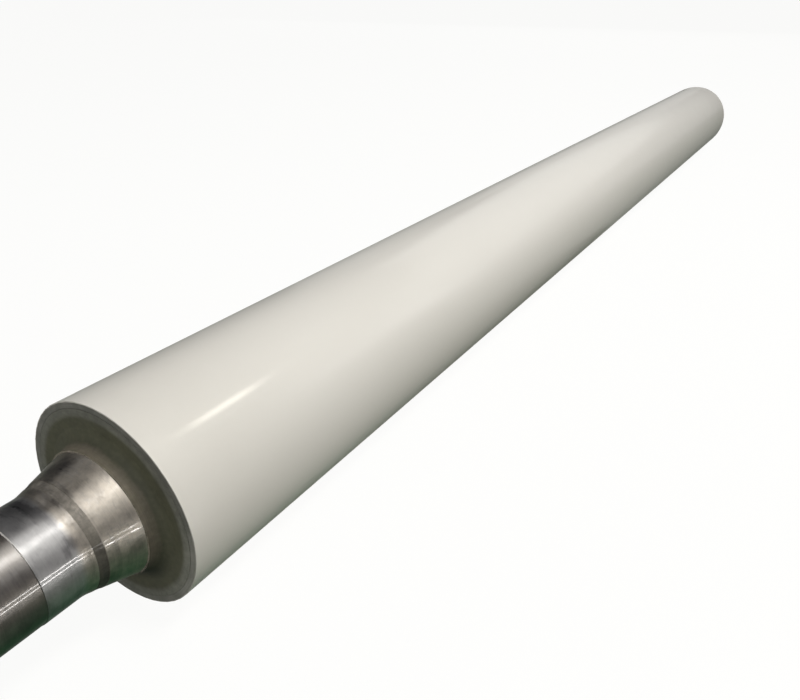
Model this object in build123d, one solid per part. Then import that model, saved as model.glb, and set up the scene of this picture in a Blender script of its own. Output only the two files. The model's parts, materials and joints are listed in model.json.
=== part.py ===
from build123d import *
import math
import os

# Stretching roller. The roll's axis is X, the near end points to -X, and the
# origin is on the axis at the middle of the face. All sizes are in millimetres.

# Face of the roll
face_diameter = 254.0
face_length = 3090.0
cover_thickness = 1.2
cover_edge_chamfer = 0.5

# Steel tube under the cover
tube_wall = 10.0
register_wall = 7.3
register_chamfer = 0.6

# Head, which sits in a register that thins the tube's wall at each end
head_thickness = 50.0
machined_ring_width = 9.0
raw_face_depth = 1.2

# Hub, where the raw blend ends and the turned journal starts
hub_diameter = 156.0
hub_projection = 17.0

# Taper between the hub and the bearing seat, with an unground band left in it.
# Distances are measured outwards from the end of the face.
taper_large_diameter = 153.0
taper_corner = 76.0
taper_blend_length = 5.2
band_start = 56.0
band_width = 10.0
band_depth = 0.4

# Bearing seat, and the turned length beyond it, which is relieved so that a bearing slides over
seat_diameter = 120.0
seat_length = 40.0
seat_chamfer = 0.8
outer_relief = 0.6
journal_length = 240.0
end_chamfer = 3.0

# Centre hole in the journal's free end
centre_mouth_diameter = 25.0
centre_pilot_diameter = 10.0
centre_pilot_depth = 12.0
centre_half_angle = 30.0

tube_diameter = face_diameter - 2 * cover_thickness
register_diameter = tube_diameter - 2 * register_wall
taper_slope = (taper_large_diameter - seat_diameter) / 2 / (taper_corner - hub_projection)
seat_start = taper_corner + taper_blend_length
seat_end = seat_start + seat_length


def turned(outline):
    """Turns a closed half section, given as (distance along X, radius), about the X axis."""
    with BuildPart() as part:
        with BuildSketch(Plane.XY):
            with BuildLine():
                Polyline(*outline, close=True)
            make_face()
        revolve(axis=Axis.X)
    return part.part


def on_taper(distance, depth=0):
    """The point of the taper's half section that lies a distance out from the face, sunk by a depth."""
    return (-distance, seat_diameter / 2 + (taper_corner - distance) * taper_slope - depth)


def roll_cover():
    """The thin white layer, from end to end of the face."""
    sleeve = turned([
        (-face_length / 2, tube_diameter / 2),
        (-face_length / 2, face_diameter / 2),
        (face_length / 2, face_diameter / 2),
        (face_length / 2, tube_diameter / 2),
    ])
    rims = sleeve.edges().filter_by(GeomType.CIRCLE)
    outer_rims = rims.filter_by(lambda rim: rim.radius > tube_diameter / 2 + cover_thickness / 2)
    return chamfer(outer_rims, cover_edge_chamfer)


def shell_tube():
    """The tube, bored at each end to a register with a lead-in chamfer and a shoulder for the head."""
    end = face_length / 2
    shoulder = end - head_thickness
    outer = tube_diameter / 2
    bore = outer - tube_wall
    register = register_diameter / 2
    return turned([
        (-end, outer),
        (end, outer),
        (end, register + register_chamfer),
        (end - register_chamfer, register),
        (shoulder, register),
        (shoulder, bore),
        (-shoulder, bore),
        (-shoulder, register),
        (-end + register_chamfer, register),
        (-end, register + register_chamfer),
    ])


def journal_head():
    """One forging: head, hub, taper and journal. Its face is at x = 0 and its journal points to -X."""
    register = register_diameter / 2
    ring_inner = register - machined_ring_width
    seat = seat_diameter / 2
    outer = seat - outer_relief
    mouth = centre_mouth_diameter / 2
    pilot = centre_pilot_diameter / 2
    centre_cone = (mouth - pilot) / math.tan(math.radians(centre_half_angle))
    hub = hub_diameter / 2
    blend = hub_projection + raw_face_depth
    blend_start = (raw_face_depth, hub + blend)
    blend_corner = (raw_face_depth, hub)
    blend_end = (-hub_projection, hub)
    band_end = band_start + band_width
    taper_end = on_taper(taper_corner - taper_blend_length)

    with BuildPart() as head:
        with BuildSketch(Plane.XY):
            with BuildLine():
                Polyline(
                    (head_thickness, 0),
                    (head_thickness, register),
                    (0, register),
                    (0, ring_inner),
                    blend_start,
                )
                Bezier(blend_start, blend_corner, blend_end)
                Polyline(
                    blend_end,
                    on_taper(hub_projection),
                    on_taper(band_start),
                    on_taper(band_start, band_depth),
                    on_taper(band_end, band_depth),
                    on_taper(band_end),
                    taper_end,
                )
                Bezier(taper_end, on_taper(taper_corner), (-seat_start, seat))
                Polyline(
                    (-seat_start, seat),
                    (-seat_end + seat_chamfer, seat),
                    (-seat_end, outer),
                    (-journal_length + end_chamfer, outer),
                    (-journal_length, outer - end_chamfer),
                    (-journal_length, mouth),
                    (-journal_length + centre_cone, pilot),
                    (-journal_length + centre_cone + centre_pilot_depth, pilot),
                    (-journal_length + centre_cone + centre_pilot_depth, 0),
                    (head_thickness, 0),
                )
            make_face()
        revolve(axis=Axis.X)
    return head.part


near_end = Location((-face_length / 2, 0, 0))
far_end = Location((face_length / 2, 0, 0), (0, 0, 180))
parts = {
    "roll_cover": roll_cover(),
    "shell_tube": shell_tube(),
    "near_journal_head": near_end * journal_head(),
    "far_journal_head": far_end * journal_head(),
}

os.makedirs("parts", exist_ok=True)
for name, solid in parts.items():
    export_step(solid, f"parts/{name}.step")
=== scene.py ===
import json
import math

import bpy
from mathutils import Matrix, Vector


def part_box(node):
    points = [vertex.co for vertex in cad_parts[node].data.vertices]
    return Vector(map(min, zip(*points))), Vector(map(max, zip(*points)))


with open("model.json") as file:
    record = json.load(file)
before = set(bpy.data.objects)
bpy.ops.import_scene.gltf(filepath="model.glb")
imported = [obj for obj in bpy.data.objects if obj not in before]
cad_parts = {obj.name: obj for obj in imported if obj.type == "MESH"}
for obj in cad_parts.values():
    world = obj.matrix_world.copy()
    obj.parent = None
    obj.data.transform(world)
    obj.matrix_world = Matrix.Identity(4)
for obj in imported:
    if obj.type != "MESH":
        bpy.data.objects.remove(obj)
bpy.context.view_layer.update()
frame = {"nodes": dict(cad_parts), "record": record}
nodes = frame["nodes"]
print("frame loaded:", sorted(nodes))

# Driving sizes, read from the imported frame. Everything is in metres.
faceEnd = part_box("roll_cover")[1][0]  # the face runs from -faceEnd to +faceEnd along X
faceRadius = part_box("roll_cover")[1][2]
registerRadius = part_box("far_journal_head")[1][2]  # the head fits into the tube here
seatMount = next(mount for mount in frame["record"]["mounts"] if mount["name"] == "near_bearing_seat")
seatMiddle = abs(seatMount["pos_m"][0]) - faceEnd  # how far out from the face's end it lies
seatHalf = seatMount["dims"]["length_mm"] / 2000  # half its length, which is given in millimetres


# Shader maths as plain Python: a Wire is one socket, and its operators add Math nodes.
class Wire:
    def __init__(self, finish, socket):
        self.finish = finish
        self.socket = socket

    def __add__(self, other):
        return self.finish.maths("ADD", self, other)

    def __sub__(self, other):
        return self.finish.maths("SUBTRACT", self, other)

    def __rsub__(self, other):
        return self.finish.maths("SUBTRACT", other, self)

    def __mul__(self, other):
        return self.finish.maths("MULTIPLY", self, other)

    def __truediv__(self, other):
        return self.finish.maths("DIVIDE", self, other)

    def __rtruediv__(self, other):
        return self.finish.maths("DIVIDE", other, self)

    def __abs__(self):
        return self.finish.maths("ABSOLUTE", self)

    def __neg__(self):
        return self.finish.maths("MULTIPLY", self, -1.0)

    __radd__ = __add__
    __rmul__ = __mul__


# The node tree of a material, a lamp or the air. add() makes any node, its settings first.
class Finish:
    def __init__(self, owner):
        owner.use_nodes = True
        self.owner = owner
        self.tree = owner.node_tree
        self.tree.nodes.clear()

    def add(self, kind, settings, sockets, output=0):
        node = self.tree.nodes.new(kind)
        for key, value in settings.items():
            setattr(node, key, value)
        for key, value in sockets.items():
            if isinstance(value, Wire):
                self.tree.links.new(value.socket, node.inputs[key])
            else:
                node.inputs[key].default_value = value
        return None if output is None else Wire(self, node.outputs[output])

    def maths(self, operation, *values):
        return self.add("ShaderNodeMath", {"operation": operation}, dict(enumerate(values)))

    def parts(self, value):
        split = self.add("ShaderNodeSeparateXYZ", {}, {0: value})
        return [Wire(self, split.socket.node.outputs[name]) for name in ("X", "Y", "Z")]

    # Places on the roll: along its axis, out from the end of its face, away from its axis, and round it.
    # The last is in degrees from the top, and grows towards the front.
    def measure(self):
        self.x, self.y, self.z = self.parts(self.add("ShaderNodeTexCoord", {}, {}, "Object"))
        self.out = abs(self.x) - faceEnd
        self.radius = self.maths("SQRT", self.y * self.y + self.z * self.z)
        self.turn = self.maths("ARCTAN2", self.y, self.z) * -math.degrees(1.0)  # the front is at -Y
        return self

    # 0 below low, 1 above high, and a smooth rise between
    def rise(self, value, low, high):
        return self.add("ShaderNodeMapRange", {"interpolation_type": "SMOOTHSTEP"},
                        {0: value, 1: low, 2: high, 3: 0.0, 4: 1.0})

    # A rise at one place, from reach[0] before it to reach[1] past it
    def edge(self, value, place, reach):
        return self.rise(value, place + reach[0], place + reach[1])

    # 1 between start and end, with edges that fade over soft
    def between(self, value, start, end, soft):
        reach = (-soft / 2, soft / 2)
        return self.edge(value, start, reach) * (1 - self.edge(value, end, reach))

    def vector(self, x, y, z):
        return self.add("ShaderNodeCombineXYZ", {}, {0: x, 1: y, 2: z})

    # Noise round 0.5. It runs along the roll, or along another measure where one is given.
    def grain(self, scaleAlong, scaleAcross, detail, rough, shift=0.0, along=None):
        along = self.x if along is None else along
        place = self.vector(along * scaleAlong + shift, self.y * scaleAcross, self.z * scaleAcross)
        return self.add("ShaderNodeTexNoise", {"noise_dimensions": "3D"},
                        {"Vector": place, "Scale": 1.0, "Detail": detail, "Roughness": rough})

    # Colour a where share is 0 and colour b where it is 1
    def mix(self, share, a, b):
        return self.add("ShaderNodeMix", {"data_type": "RGBA", "clamp_factor": True},
                        {0: share, 6: a, 7: b}, 2)

    # A colour times a grey value
    def shade(self, colour, amount):
        return self.add("ShaderNodeMix", {"data_type": "RGBA", "blend_type": "MULTIPLY"},
                        {0: 1.0, 6: colour, 7: self.vector(amount, amount, amount)}, 2)

    def bump(self, height, distance):
        return self.add("ShaderNodeBump", {}, {"Height": height, "Distance": distance, "Strength": 1.0})

    def close(self, sockets):
        surface = self.add("ShaderNodeBsdfPrincipled", {}, sockets)
        self.add("ShaderNodeOutputMaterial", {}, {"Surface": surface}, None)
        return self.owner


# A value pushed to and fro by a grain, by about half the amount each way
def wander(value, grain, amount):
    return value + (grain - 0.5) * amount


# A plain value plus each part times its own weight
def weigh(weights, **parts):
    total = weights["plain"]
    for name, part in parts.items():
        total = part * weights[name] + total
    return total


def dress(node, material):
    slots = nodes[node].data.materials
    for number in range(len(slots)):
        slots[number] = material
    if not len(slots):
        slots.append(material)


# White cover: a smooth, slightly waxy polymer skin under a thin polish, with painted shade on its end rim.
# A grain is its scale along the roll, its scale across it, its detail and its roughness.
coverLook = {
    "colour": (0.80, 0.775, 0.72, 1.0),
    "cloudColour": (0.76, 0.735, 0.68, 1.0),
    "handledColour": (0.715, 0.69, 0.635, 1.0),
    # Painted shade on the cover's end rim, darker again on the front
    "rimShadeColour": (0.36, 0.345, 0.31, 1.0),
    "frontRimShadeColour": (0.22, 0.211, 0.19, 1.0),
    "cloudGrain": (2.0, 9.0, 4.0, 0.55),
    "cloudRise": (0.35, 0.75),
    "cloudStrength": 0.4,
    "wearGrain": (18.0, 22.0, 4.0, 0.6),
    "handledLength": 0.30,  # how far in from each end the cover is handled
    "handled": {"plain": 0.55, "wear": 0.5},
    "rimLength": 0.0007,
    "rimWander": 0.0006,
    "frontRimShade": (0.0, 60.0),  # painted shade: the rim gets darker between these angles from the top
    "roughness": 0.42,
    "roughnessWander": 0.06,
    "polish": 0.75,
    "polishWander": 0.1,
    "polishRoughness": 0.11,
    "index": 1.5,
    "rippleGrain": (9.0, 30.0, 2.0, 0.5),
    "ripple": 0.00002,
}


def coverMaterial():
    f = Finish(bpy.data.materials.new("coverWhite")).measure()
    look = coverLook
    cloud = f.grain(*look["cloudGrain"])
    wear = f.grain(*look["wearGrain"])
    clouding = f.rise(cloud, *look["cloudRise"]) * look["cloudStrength"]
    colour = f.mix(clouding, look["colour"], look["cloudColour"])
    inward = -f.out
    handled = (1 - f.rise(inward, 0.0, look["handledLength"])) * weigh(look["handled"], wear=wear)
    colour = f.mix(handled, colour, look["handledColour"])
    # Painted shade along the cover's end rim, darker towards the front
    rimShade = 1 - f.rise(wander(inward, wear, look["rimWander"]), 0.0, look["rimLength"])
    rimShadeColour = f.mix(f.rise(f.turn, *look["frontRimShade"]), look["rimShadeColour"], look["frontRimShadeColour"])
    return f.close({
        "Base Color": f.mix(rimShade, colour, rimShadeColour),
        "Roughness": wander(look["roughness"], wear, look["roughnessWander"]),
        "Coat Weight": wander(look["polish"], wear, look["polishWander"]),
        "Coat Roughness": look["polishRoughness"],
        "IOR": look["index"],
        "Normal": f.bump(f.grain(*look["rippleGrain"]), look["ripple"]),
    })


# A stretch low on the front of each end ring is painted paler, as painted light, on the tube and the head
# alike
ringLightLook = {
    "angle": 110.0,  # in degrees from the top
    "halfAngle": 38.0,
    "wander": 0.8,
    "fade": (0.2, 1.1),
    "lift": 0.32,
}


# 1, and up to about 1.3 in the stretch of painted light
def ringPaintedLight(f, grain):
    look = ringLightLook
    away = wander(abs(f.turn - look["angle"]) / look["halfAngle"], grain, look["wander"])
    return 1.0 + (1 - f.rise(away, *look["fade"])) * look["lift"]


# Journal and head: one forging with a differently finished stretch for each step of the turning.
journalLook = {
    # Places are distances out from the face's end, or radii. An edge is how far a change reaches before
    # and past its place, and a wander is how much a grain pushes it to and fro.
    "linePast": 0.0003,  # the finish line lies this much past the seat
    "lineEdge": (-0.0003, 0.0003),
    "step": (-0.0009, 0.0004),  # the step with a painted highlight, out from the finish line
    "stepSoft": 0.0003,
    "seatLead": 0.0022,  # the seat's finish starts this much before it
    "bandStart": 0.0560,
    "bandEnd": 0.0660,
    "bandSoft": 0.0012,
    "bandWander": 0.0006,
    "taperStart": 0.0170,
    "taperLead": 0.004,  # the taper's finish starts this much before it
    "taperSoft": 0.008,
    "taperWander": 0.006,
    "shoulder": (-0.0005, 0.0002),  # painted shade: the dark line at the shoulder, out from the taper's start
    "shoulderSoft": 0.0003,
    "faceEdge": (-0.0002, 0.0008),
    "faceWander": 0.0006,
    "blendRadius": 0.0808,
    "rawEdge": (-0.003, 0.002),
    "rawWander": 0.006,
    "ringWidth": 0.009,
    "ringEdge": (-0.0038, 0.0048),
    "ringWander": 0.003,
    # Colours of the steel, stretch by stretch, of what lies on it, and of painted shade and a painted
    # highlight
    "ground": (0.50, 0.49, 0.495, 1.0),
    "turned": (0.25, 0.225, 0.20, 1.0),
    "taper": (0.56, 0.51, 0.445, 1.0),
    "band": (0.225, 0.207, 0.178, 1.0),
    "blend": (0.150, 0.131, 0.100, 1.0),
    "raw": (0.057, 0.0575, 0.037, 1.0),
    "ring": (0.153, 0.154, 0.132, 1.0),
    # Painted highlight on the step at the finish line
    "bright": (0.78, 0.76, 0.73, 1.0),
    # Painted shade, under the journal near the hub and at the shoulder
    "paintedShade": (0.018, 0.019, 0.013, 1.0),
    "stain": (0.05, 0.045, 0.052, 1.0),
    # Grains, as in the cover's dictionary. A fifth number shifts the grain.
    "latheGrain": (650.0, 7.0, 3.0, 0.7),
    "stainGrain": (60.0, 48.0, 5.0, 0.62),
    "blotchGrain": (24.0, 21.0, 4.0, 0.6, 7.0),
    "smearGrain": (150.0, 34.0, 4.0, 0.6),
    "fineGrain": (170.0, 170.0, 3.0, 0.6),
    "glintGrain": (480.0, 260.0, 2.0, 0.7),
    "fleckGrain": (150.0, 310.0, 3.0, 0.65),
    # Angles from the top, in degrees
    "topside": (20.0, 64.0),  # painted light on the band's upper side, as angles away from its middle
    "topsideMiddle": 20.0,
    # painted shade under the journal lies between these angles
    "shadedUnderside": (101.0, 141.0),
    "shadedUndersideWander": 34.4,
    "lowFront": (40.0, 62.0),
    "rubbedFront": (65.0, 86.0),
    "rubbedSoft": 6.0,
    # How strong each thing is
    # The band's tone, with painted light on its upper side
    "bandTone": {"plain": 0.62, "topside": 1.15},
    "streakWander": 0.5,
    "streakRise": (0.38, 0.66),
    "streakStrength": 0.42,
    # Painted shade under the journal, near the hub
    "underShadeRadius": (0.083, 0.100),
    "underShadeWander": 0.008,
    "underShadeStrength": 0.95,
    "shoulderGrime": 0.12,
    "blotchRise": (0.46, 0.68),
    "smearRise": (0.52, 0.72),
    "worn": {"plain": 0.0, "blotch": 0.40, "smear": 0.30},
    "speckle": {"plain": 0.0, "rough": 0.70, "taper": 0.45},
    "tone": {"plain": 0.34, "lathe": 0.38, "stain": 0.78, "smear": 0.18},
    "roughness": {"plain": 0.47, "stain": 0.28, "lathe": 0.16, "outer": -0.08, "taper": -0.07,
                  "band": 0.15, "face": 0.18, "step": 0.20},
    "metal": {"plain": 1.0, "band": -0.20, "face": -0.88, "ring": 0.40, "step": -0.18},
    "mattShort": 0.0035,  # the taper's matt finish ends this much before the seat's finish starts
    "mattSoft": 0.005,
    "mattWander": 0.005,
    "fleckWander": 0.5,
    "fleckRise": (0.44, 0.58),
    "glintRise": (0.36, 0.64),
    "glint": {"plain": 0.12, "matt": 0.18, "rubbed": 0.20},
    "shine": {"plain": 0.92, "outer": -0.22, "worn": -0.80, "smear": 0.50, "marks": -0.50},
    "mattShine": {"plain": 0.15, "smear": 0.40},
    "rubbedShine": 0.80,
    "stepShine": {"plain": 0.4, "low": 0.4},
    "bandShine": 0.82,
    "polishRoughness": 0.07,
    "polishIndex": 2.6,
    "relief": {"plain": 0.0, "lathe": 0.5, "fine": 1.6},
    "groove": 0.00005,
    # Darker marks: (distance out, angle from the top, half length, half angle, strength)
    "marks": [
        (0.0885, -4.0, 0.0058, 27.0, 0.70),
        (0.1010, -12.0, 0.0060, 20.0, 0.35),
        (0.0330, -8.0, 0.0110, 14.0, 0.34),
        (0.0790, 57.0, 0.0042, 8.0, 0.58),
        (0.0870, 62.0, 0.0040, 6.0, 0.45),
        (0.1440, 54.0, 0.0200, 11.0, 0.45),
        (0.0280, 92.0, 0.0080, 8.0, 0.30),
    ],
    "markRound": (0.2, 1.35),  # a mark fades between these shares of its half angle
    "markRoundWander": 1.8,
    "markAlong": (0.3, 1.45),  # and of its half length
    "markAlongWander": 2.0,
}


def journalGrains(f, look):
    f.lathe = f.grain(*look["latheGrain"], along=f.out - f.radius)  # follows the profile out and across
    f.stain = f.grain(*look["stainGrain"])
    f.blotch = f.grain(*look["blotchGrain"])
    f.smear = f.grain(*look["smearGrain"])
    f.fine = f.grain(*look["fineGrain"])
    f.glint = f.grain(*look["glintGrain"])
    f.fleck = f.grain(*look["fleckGrain"])


# Each is 1 on its stretch and 0 off it. Most have edges that wander a little.
def journalStretches(f, look):
    taperStart = look["taperStart"]
    seatStart = seatMiddle - seatHalf - look["seatLead"]
    finishLine = seatMiddle + seatHalf + look["linePast"]
    ringInner = registerRadius - look["ringWidth"]
    f.outer = f.edge(f.out, finishLine, look["lineEdge"])
    f.band = f.between(wander(f.out, f.fine, look["bandWander"]), look["bandStart"], look["bandEnd"],
                       look["bandSoft"])
    f.taper = f.between(wander(f.out, f.stain, look["taperWander"]), taperStart - look["taperLead"],
                        seatStart, look["taperSoft"])
    f.matt = f.between(wander(f.out, f.stain, look["mattWander"]), taperStart - look["taperLead"],
                       seatStart - look["mattShort"], look["mattSoft"])
    f.shoulder = f.between(f.out - taperStart, *look["shoulder"], look["shoulderSoft"])
    f.face = 1 - f.edge(wander(f.out, f.fine, look["faceWander"]), taperStart, look["faceEdge"])
    f.raw = f.edge(wander(f.radius, f.stain, look["rawWander"]), look["blendRadius"], look["rawEdge"])
    f.ring = f.edge(wander(f.radius, f.smear, look["ringWander"]), ringInner, look["ringEdge"])
    f.low = f.rise(f.turn, *look["lowFront"])  # the lower front
    f.step = f.between(f.out - finishLine, *look["step"], look["stepSoft"])
    # Painted highlight on the step, on its upper side only
    f.brightStep = f.step * (1 - f.low)


# Worn and stained places, the separate marks, and the rubbed flecks along the taper's front
def journalWear(f, look):
    f.worn = weigh(look["worn"], blotch=f.rise(f.blotch, *look["blotchRise"]),
                   smear=f.rise(f.smear, *look["smearRise"]))
    f.marks = 0.0
    for out, angle, halfLength, halfAngle, strength in look["marks"]:
        away = wander(abs(f.turn - angle) / halfAngle, f.blotch, look["markRoundWander"])
        aside = wander(abs(f.out - out) / halfLength, f.stain, look["markAlongWander"])
        spot = (1 - f.rise(away, *look["markRound"])) * (1 - f.rise(aside, *look["markAlong"]))
        f.marks = spot * strength + f.marks
    fleck = f.rise(wander(f.fleck, f.stain, look["fleckWander"]), *look["fleckRise"])
    f.rubbed = f.between(f.turn, *look["rubbedFront"], look["rubbedSoft"]) * f.matt * fleck


# The head's face, from the journal out: brown blend, raw olive face and machined ring, with painted light
# low on the ring's front and painted shade below the journal
def faceColour(f, look):
    streak = f.rise(wander(f.lathe, f.stain, look["streakWander"]), *look["streakRise"])
    colour = f.mix(streak * look["streakStrength"], look["blend"], look["raw"])
    colour = f.mix(f.raw, colour, look["raw"])
    # Painted light: a paler stretch low on the ring's front
    colour = f.mix(f.ring, colour, f.shade(look["ring"], ringPaintedLight(f, f.stain)))
    # Painted shade under the journal, near the hub
    shadedUnder = f.rise(wander(abs(f.turn), f.blotch, look["shadedUndersideWander"]), *look["shadedUnderside"])
    inside = 1 - f.rise(wander(f.radius, f.blotch, look["underShadeWander"]), *look["underShadeRadius"])
    return f.mix(shadedUnder * inside * look["underShadeStrength"], colour, look["paintedShade"])


def journalColour(f, look):
    colour = f.mix(f.taper, look["ground"], look["taper"])
    colour = f.mix(f.outer, colour, look["turned"])
    # Painted light on the band's upper side
    topside = 1 - f.rise(abs(f.turn - look["topsideMiddle"]), *look["topside"])
    colour = f.mix(f.band, colour, f.shade(look["band"], weigh(look["bandTone"], topside=topside)))
    colour = f.mix(f.face, colour, faceColour(f, look))
    colour = f.mix((f.worn + f.marks) * (1 - f.face), colour, look["stain"])
    # Painted shade at the shoulder
    colour = f.mix(f.shoulder * look["shoulderGrime"], colour, look["paintedShade"])
    speckle = (f.fine - 0.5) * weigh(look["speckle"], rough=f.face + f.band, taper=f.taper * (1 - f.face))
    tone = weigh(look["tone"], lathe=f.lathe, stain=f.stain, smear=f.smear) + speckle
    # Painted highlight on the step
    return f.mix(f.brightStep, f.shade(colour, tone), look["bright"])


# The thin polish: even on the ground seat, patchy on the matt taper, and none on the face
def journalPolish(f, look):
    glint = f.rise(f.glint, *look["glintRise"]) - 0.5
    glint = glint * weigh(look["glint"], matt=f.matt, rubbed=f.rubbed)
    ground = weigh(look["shine"], outer=f.outer, worn=f.worn, smear=f.smear - 0.5, marks=f.marks)
    matt = weigh(look["mattShine"], smear=f.smear - 0.5)
    shine = ground * (1 - f.matt) + f.matt * matt + f.rubbed * look["rubbedShine"] + glint
    shine = shine * (1 - f.step * weigh(look["stepShine"], low=f.low))
    return shine * (1 - f.band * look["bandShine"]) * (1 - f.face)


def journalMaterial():
    f = Finish(bpy.data.materials.new("journalSteel")).measure()
    look = journalLook
    journalGrains(f, look)
    journalStretches(f, look)
    journalWear(f, look)
    relief = weigh(look["relief"], lathe=f.lathe, fine=f.fine * (f.band + f.face * (1 - f.ring)))
    return f.close({
        "Base Color": journalColour(f, look),
        "Roughness": weigh(look["roughness"], stain=f.stain - 0.5, lathe=f.lathe - 0.5, outer=f.outer,
                           taper=f.taper, band=f.band, face=f.face, step=f.brightStep),
        "Metallic": weigh(look["metal"], band=f.band, face=f.face, ring=f.face * f.ring,
                          step=f.brightStep),
        "Coat Weight": journalPolish(f, look),
        "Coat Roughness": look["polishRoughness"],
        "Coat IOR": look["polishIndex"],
        "Normal": f.bump(relief, look["groove"]),
    })


# End of the tube, faced with the head's ring
tubeLook = {
    "steel": (0.152, 0.151, 0.134, 1.0),
    "cleanSteel": (0.188, 0.186, 0.168, 1.0),
    "cleanRise": (0.3, 0.7),
    "latheGrain": (650.0, 7.0, 3.0, 0.7),
    "stainGrain": (60.0, 48.0, 5.0, 0.62),
    "tone": {"plain": 0.40, "lathe": 0.75, "stain": 0.45},
    "roughness": 0.58,
    "roughnessWander": 0.2,
    "metal": 0.55,
    "groove": 0.00006,
}


def tubeMaterial():
    f = Finish(bpy.data.materials.new("tubeSteel")).measure()
    look = tubeLook
    lathe = f.grain(*look["latheGrain"], along=f.radius)
    stain = f.grain(*look["stainGrain"])
    colour = f.mix(f.rise(stain, *look["cleanRise"]), look["steel"], look["cleanSteel"])
    # Painted light low on the front, as on the head's ring
    tone = weigh(look["tone"], lathe=lathe, stain=stain) * ringPaintedLight(f, stain)
    return f.close({
        "Base Color": f.shade(colour, tone),
        "Roughness": wander(look["roughness"], lathe, look["roughnessWander"]),
        "Metallic": look["metal"],
        "Normal": f.bump(lathe, look["groove"]),
    })


journalSteel = journalMaterial()
dress("roll_cover", coverMaterial())
dress("shell_tube", tubeMaterial())
dress("near_journal_head", journalSteel)
dress("far_journal_head", journalSteel)
print("materials made")

# Floor: pale to the camera, and unseen by the roll, which the air below lights instead
floorLook = {
    "size": 160.0,
    "gap": 0.0002,  # between the cover and the floor
    "colour": (0.04, 0.04, 0.0395, 1.0),
    "roughness": 0.9,
    "glowColour": (1.0, 1.0, 0.99, 1.0),
    "glow": 0.94,
}


def makeFloor():
    half = floorLook["size"] / 2
    level = -faceRadius - floorLook["gap"]
    corners = [(x * half, y * half, level) for x, y in ((-1, -1), (1, -1), (1, 1), (-1, 1))]
    mesh = bpy.data.meshes.new("floor")
    mesh.from_pydata(corners, [], [(0, 1, 2, 3)])
    floor = bpy.data.objects.new("floor", mesh)
    bpy.context.scene.collection.objects.link(floor)
    f = Finish(bpy.data.materials.new("floorPale"))
    mesh.materials.append(f.close({
        "Base Color": floorLook["colour"],
        "Roughness": floorLook["roughness"],
        "Emission Color": floorLook["glowColour"],
        "Emission Strength": floorLook["glow"],
    }))
    floor.visible_glossy = False
    floor.visible_diffuse = False
    floor.visible_shadow = False


makeFloor()

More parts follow.
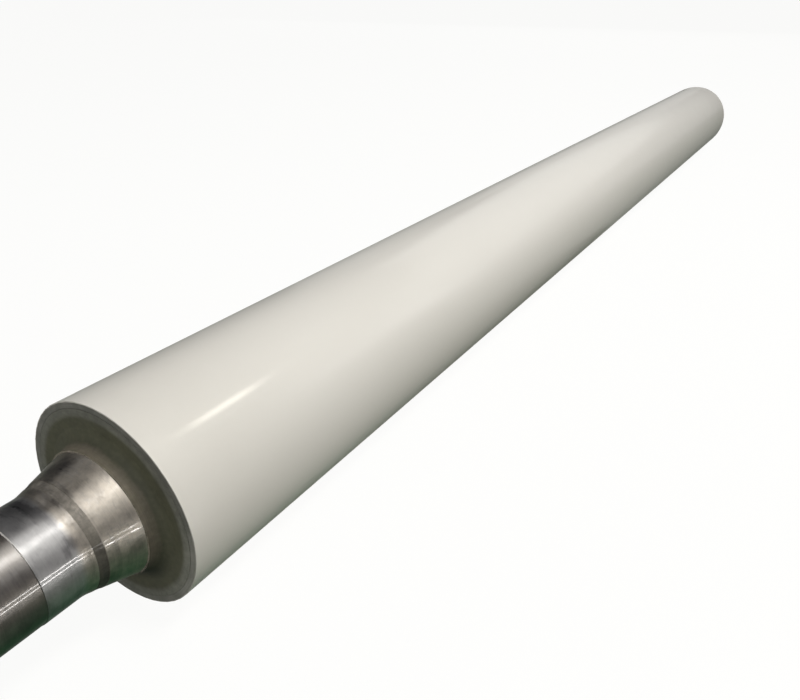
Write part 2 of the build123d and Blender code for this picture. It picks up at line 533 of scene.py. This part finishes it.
# Studio lights. Each stands at a place, faces an aim and lies along a direction. Its size is its length and
# its width. One that isn't diffuse is there for its reflection alone, and one that isn't glossy for its
# light alone.
alongRoll = (1, 0, 0)
acrossRoll = (0, 1, 0)
lights = {
    "keyPanel": {
        "place": (-0.30, -2.68, 4.81), "aim": (-0.30, 0.0, 0.0), "along": alongRoll, "size": (1.6, 1.0),
        "power": 263.0, "colour": (1.0, 0.99, 0.97), "glossy": False},
    "ceilingRow": {
        "place": (-1.43, -1.06, 2.1), "aim": (-1.43, 0.0, 0.0), "along": alongRoll, "size": (1.54, 3.6),
        "power": 54.0, "colour": (1.0, 0.985, 0.95), "diffuse": False, "fade": "edges",
        "wide": 0.62, "core": 0.58},
    "wallPanel": {
        "place": (4.0, -3.0, 1.2), "aim": (4.0, 0.0, 0.6), "along": alongRoll, "size": (14.0, 1.9),
        "power": 5.8, "colour": (1.0, 0.99, 0.97), "diffuse": False},
    "farPanel": {
        "place": (12.0, -1.9, 6.2), "aim": (0.0, -1.9, 6.2), "along": acrossRoll, "size": (16.6, 6.2),
        "power": 226.8, "colour": (1.0, 0.99, 0.96), "diffuse": False, "fade": "ends", "even": 0.711},
    "farMiddle": {
        "place": (12.0, 2.0, 1.7), "aim": (0.0, 2.0, 1.7), "along": acrossRoll, "size": (22.0, 2.8),
        "power": 50.0, "colour": (1.0, 0.99, 0.96), "diffuse": False},
    "farTopSide": {
        "place": (11.7, 3.85, 1.7), "aim": (0.0, 3.85, 1.7), "along": acrossRoll, "size": (5.3, 2.8),
        "power": 7.0, "colour": (1.0, 0.99, 0.96), "diffuse": False},
    "farLow": {
        "place": (12.0, 2.0, -2.3), "aim": (0.0, 2.0, -2.3), "along": acrossRoll, "size": (22.0, 5.2),
        "power": 44.0, "colour": (1.0, 1.0, 0.95), "diffuse": False},
    "streakLamp": {
        "place": (0.49, -1.30, 2.5), "aim": (-1.45, 0.0, 0.1), "along": alongRoll, "size": (0.40, 0.54),
        "power": 7.6, "colour": (1.0, 0.965, 0.84), "diffuse": False, "fade": "edges"},
    "streakGlow": {
        "place": (0.90, -1.60, 1.05), "aim": (0.90, 0.0, 1.05), "along": alongRoll, "size": (1.4, 1.1),
        "power": 4.3, "colour": (1.0, 0.985, 0.95), "diffuse": False, "fade": "edges"},
    "lowLineA": {
        "place": (-1.555, -0.75, -0.046), "aim": (-1.555, 0.0, 0.0), "along": alongRoll,
        "size": (0.45, 0.016), "power": 0.144, "colour": (1.0, 0.97, 0.95), "diffuse": False},
    "lowLineB": {
        "place": (-1.59, -0.50, -0.085), "aim": (-1.59, 0.0, 0.0), "along": alongRoll,
        "size": (0.38, 0.010), "power": 0.084, "colour": (1.0, 0.97, 0.95), "diffuse": False},
    "flankGlow": {
        "place": (-1.38, -1.60, 1.05), "aim": (-1.38, 0.0, 1.05), "along": alongRoll, "size": (1.45, 1.6),
        "power": 2.3, "colour": (1.0, 0.985, 0.95), "diffuse": False, "fade": "edges"},
    "lowGlow": {
        "place": (-1.36, -0.80, -0.15), "aim": (-1.36, 0.0, 0.0), "along": alongRoll, "size": (0.50, 0.56),
        "power": 0.56, "colour": (1.0, 0.98, 0.95), "diffuse": False, "fade": "edges"},
    "lowFill": {
        "place": (-0.50, -0.40, -1.55), "aim": (-0.50, 0.0, 0.0), "along": alongRoll, "size": (1.9, 0.6),
        "power": 8.4, "colour": (0.98, 1.0, 0.95), "glossy": False},
    "farBack": {
        "place": (3.2, 2.4, 1.8), "aim": (1.6, 0.0, 0.0), "along": acrossRoll, "size": (2.5, 1.6),
        "power": 2.4, "colour": (1.0, 0.99, 0.97), "diffuse": False, "fade": "edges"},
    "floorBack": {
        "place": (0.5, 3.4, -2.1), "aim": (0.5, 0.0, 0.0), "along": alongRoll, "size": (8.0, 2.8),
        "power": 26.0, "colour": (1.0, 1.0, 0.98), "diffuse": False, "fade": "edges"},
    "nearBack": {
        "place": (-3.6, 3.0, 1.8), "aim": (-1.6, 0.0, 0.0), "along": acrossRoll, "size": (2.5, 1.6),
        "power": 16.0, "colour": (1.0, 0.99, 0.97), "diffuse": False, "fade": "edges"},
    "taperTop": {
        "place": (-1.46, 1.5, 2.1), "aim": (-1.46, 0.0, 0.0), "along": alongRoll, "size": (0.50, 2.8),
        "power": 2.3, "colour": (1.0, 0.985, 0.95), "diffuse": False, "fade": "edges"},
    "endPanel": {
        "place": (-4.3, -0.35, 0.78), "aim": (-1.6, 0.0, 0.0), "along": acrossRoll, "size": (1.8, 1.7),
        "power": 55.0, "colour": (1.0, 0.99, 0.95), "glossy": False},
}
# What a lamp has where its own entry doesn't say. wide and core are the strengths of its two fades, and
# coreReach is how far out the narrow one reaches, as a share of the lamp's half width.
lampDefaults = {"diffuse": True, "glossy": True, "fade": None, "wide": 1.0, "core": 0.0, "coreReach": 0.3}


# A lamp shines along its own -Z, and its length lies along its own X
def lampTurn(place, aim, along):
    back = (Vector(place) - Vector(aim)).normalized()
    side = Vector(along) - Vector(along).dot(back) * back
    side.normalize()
    return Matrix((side, back.cross(side), back)).transposed().to_quaternion()


# A lamp that fades at its edges is brightest along its middle line, and nothing at its two long edges.
# One that fades at its ends is even along its middle, and nothing at its two ends.
def fadeLamp(data, lamp):
    f = Finish(data)
    lengthways, across, rest = f.parts(f.add("ShaderNodeNewGeometry", {}, {}, "Parametric"))
    if lamp["fade"] == "ends":
        strength = 1 - f.rise(abs(lengthways - 0.5) * 2.0, lamp["even"], 1.0)
    else:
        away = abs(across - 0.5) * 2.0
        core = (1 - f.rise(away, 0.0, lamp["coreReach"])) * lamp["core"]
        strength = (1 - f.rise(away, 0.0, 1.0)) * lamp["wide"] + core
    glow = f.add("ShaderNodeEmission", {}, {"Strength": strength})
    f.add("ShaderNodeOutputLight", {}, {"Surface": glow}, None)


def makeLights():
    for name, entry in lights.items():
        lamp = {**lampDefaults, **entry}
        data = bpy.data.lights.new(name, "AREA")
        data.shape = "RECTANGLE"
        data.size, data.size_y = lamp["size"]
        data.energy = lamp["power"]
        data.color = lamp["colour"]
        if lamp["fade"]:
            fadeLamp(data, lamp)
        stand = bpy.data.objects.new(name, data)
        stand.location = lamp["place"]
        stand.rotation_mode = "QUATERNION"
        stand.rotation_quaternion = lampTurn(lamp["place"], lamp["aim"], lamp["along"])
        stand.visible_camera = False
        stand.visible_diffuse = lamp["diffuse"]
        stand.visible_glossy = lamp["glossy"]
        bpy.context.scene.collection.objects.link(stand)


makeLights()

# A weak, even light from behind, so that the back isn't lost
fillLook = {"from": (0.05, 0.97, 0.14), "strength": 0.72, "colour": (0.95, 0.98, 1.0), "spread": 60.0}


def makeFill():
    data = bpy.data.lights.new("backFill", "SUN")
    data.energy = fillLook["strength"]
    data.color = fillLook["colour"]
    data.angle = math.radians(fillLook["spread"])
    lamp = bpy.data.objects.new("backFill", data)
    lamp.rotation_mode = "QUATERNION"
    lamp.rotation_quaternion = Vector(fillLook["from"]).to_track_quat("Z", "Y")
    lamp.visible_glossy = False
    bpy.context.scene.collection.objects.link(lamp)


makeFill()
print("floor and lights made")

# Air around: pale to the camera, and dim above for the roll. Below, it gets greener in front with depth,
# and it is paler behind. It is brighter beyond the near end, so that the journal's end isn't lost when it
# is seen square on. Each pair says where a change starts and ends, as parts of a direction of length 1.
airLook = {
    "seen": (0.935, 0.935, 0.926, 1.0),
    "above": (0.045, 0.046, 0.048, 1.0),
    "belowFront": (0.074, 0.086, 0.070, 1.0),
    "midFront": (0.074, 0.118, 0.080, 1.0),
    "deepFront": (0.025, 0.079, 0.039, 1.0),
    "belowBack": (0.130, 0.140, 0.125, 1.0),
    "belowSoft": (0.215, 0.217, 0.184, 1.0),  # what lights the roll's underside softly
    "nearEnd": (0.36, 0.36, 0.35, 1.0),
    "horizon": (-0.10, 0.12),
    "midDepth": (0.60, 0.82),
    "deepDepth": (0.88, 0.97),
    "backward": (0.20, 0.60),
    "nearward": (0.74, 0.94),
}


def makeAir():
    world = bpy.data.worlds.new("air")
    f = Finish(world)
    look = airLook
    x, y, z = f.parts(f.add("ShaderNodeTexCoord", {}, {}, "Generated"))
    diffuseRay = f.add("ShaderNodeLightPath", {}, {}, "Is Diffuse Ray")
    cameraRay = f.add("ShaderNodeLightPath", {}, {}, "Is Camera Ray")
    front = f.mix(f.rise(-z, *look["midDepth"]), look["belowFront"], look["midFront"])
    front = f.mix(f.rise(-z, *look["deepDepth"]), front, look["deepFront"])
    below = f.mix(f.rise(y, *look["backward"]), front, look["belowBack"])
    below = f.mix(diffuseRay, below, look["belowSoft"])
    colour = f.mix(f.rise(z, *look["horizon"]), below, look["above"])
    colour = f.mix(f.rise(-x, *look["nearward"]), colour, look["nearEnd"])
    colour = f.mix(cameraRay, colour, look["seen"])
    back = f.add("ShaderNodeBackground", {}, {"Color": colour})
    f.add("ShaderNodeOutputWorld", {}, {"Surface": back}, None)
    bpy.context.scene.world = world


makeAir()

# Camera at the photo's place, held level. Its lens suits a picture 800 pixels wide and 700 high.
cameraLook = {
    "place": (-1.9052, -0.5890, 0.5032),
    "direction": (0.7607, 0.4633, -0.4529),
    "lens": 31.904,
    "sensor": 36.0,
    "nearest": 0.01,
    "farthest": 200.0,
}


def makeCamera():
    data = bpy.data.cameras.new("camera")
    data.lens = cameraLook["lens"]
    data.sensor_width = cameraLook["sensor"]
    data.clip_start = cameraLook["nearest"]
    data.clip_end = cameraLook["farthest"]
    camera = bpy.data.objects.new("camera", data)
    camera.location = cameraLook["place"]
    camera.rotation_mode = "QUATERNION"
    camera.rotation_quaternion = Vector(cameraLook["direction"]).to_track_quat("-Z", "Y")
    bpy.context.scene.collection.objects.link(camera)
    bpy.context.scene.camera = camera


makeCamera()
bpy.context.scene.view_settings.view_transform = "Standard"
print("air and camera made")
